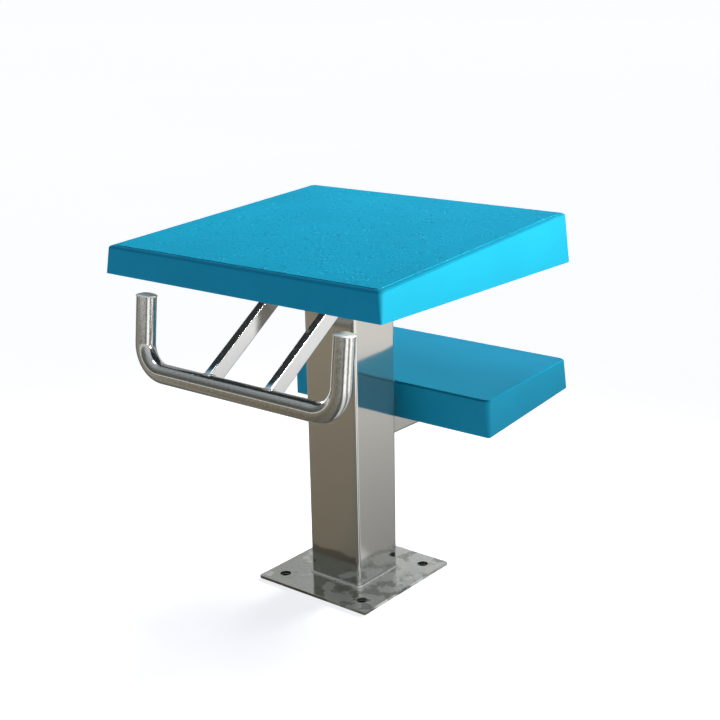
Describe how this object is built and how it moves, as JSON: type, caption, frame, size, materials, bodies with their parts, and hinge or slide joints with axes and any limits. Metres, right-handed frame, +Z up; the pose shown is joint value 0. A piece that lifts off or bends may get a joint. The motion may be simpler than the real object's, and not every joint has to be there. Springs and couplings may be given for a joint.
{
  "type": "swimming starting block",
  "caption": "Starting block for a pool deck: a sloping platform on a square post, a low step behind and a U-shaped grip for backstroke starts.",
  "frame": {"origin": "centre of the floor plate's underside, on the post's axis", "axes": "+Z up along the post, +X across the lane, -Y towards the pool"},
  "size_m": [0.52, 0.597, 0.589],
  "materials": {
    "floor_plate_steel": "mill finish with a worn protective film",
    "weld": "ground weld bead",
    "post_steel": "polished stainless steel",
    "head_plate_steel": "mill finish",
    "grip_steel": "polished stainless steel",
    "strut_steel": "polished stainless steel",
    "cap_steel": "satin",
    "platform_moulding": "glossy skirts, pebbled anti-slip top",
    "step_moulding": "glossy skirts, pebbled top",
    "panel": "moulded, matt",
    "bearer_timber": "sealed plywood",
    "insert_brass": "turned",
    "fastener_steel": "stainless steel",
    "arm_steel": "polished stainless steel",
    "arm_plug": "moulded"
  },
  "bodies": {
    "root": {"base_plate": "floor_plate_steel", "foot_weld": "weld", "post": "post_steel", "head_weld": "weld", "head_plate": "head_plate_steel", "platform_shell": "platform_moulding", "platform_panel": "panel", "platform_bearer_left": "bearer_timber", "platform_bearer_right": "bearer_timber", "platform_bearer_front": "bearer_timber", "platform_bearer_rear": "bearer_timber", "platform_inserts": "insert_brass", "platform_bolts": "fastener_steel", "platform_flat_washers": "fastener_steel", "platform_spring_washers": "fastener_steel", "platform_panel_screws": "fastener_steel", "step_arm": "arm_steel", "step_arm_weld": "weld", "step_arm_cap": "arm_plug", "step_mount_plate": "head_plate_steel", "step_shell": "step_moulding", "step_panel": "panel", "step_bearer_left": "bearer_timber", "step_bearer_right": "bearer_timber", "step_inserts": "insert_brass", "step_bolts": "fastener_steel", "step_flat_washers": "fastener_steel", "step_spring_washers": "fastener_steel", "step_panel_screws": "fastener_steel", "handle_tube": "grip_steel", "handle_cap_left": "cap_steel", "handle_cap_right": "cap_steel", "strut_left": "strut_steel", "strut_right": "strut_steel"}
  },
  "joints": []
}
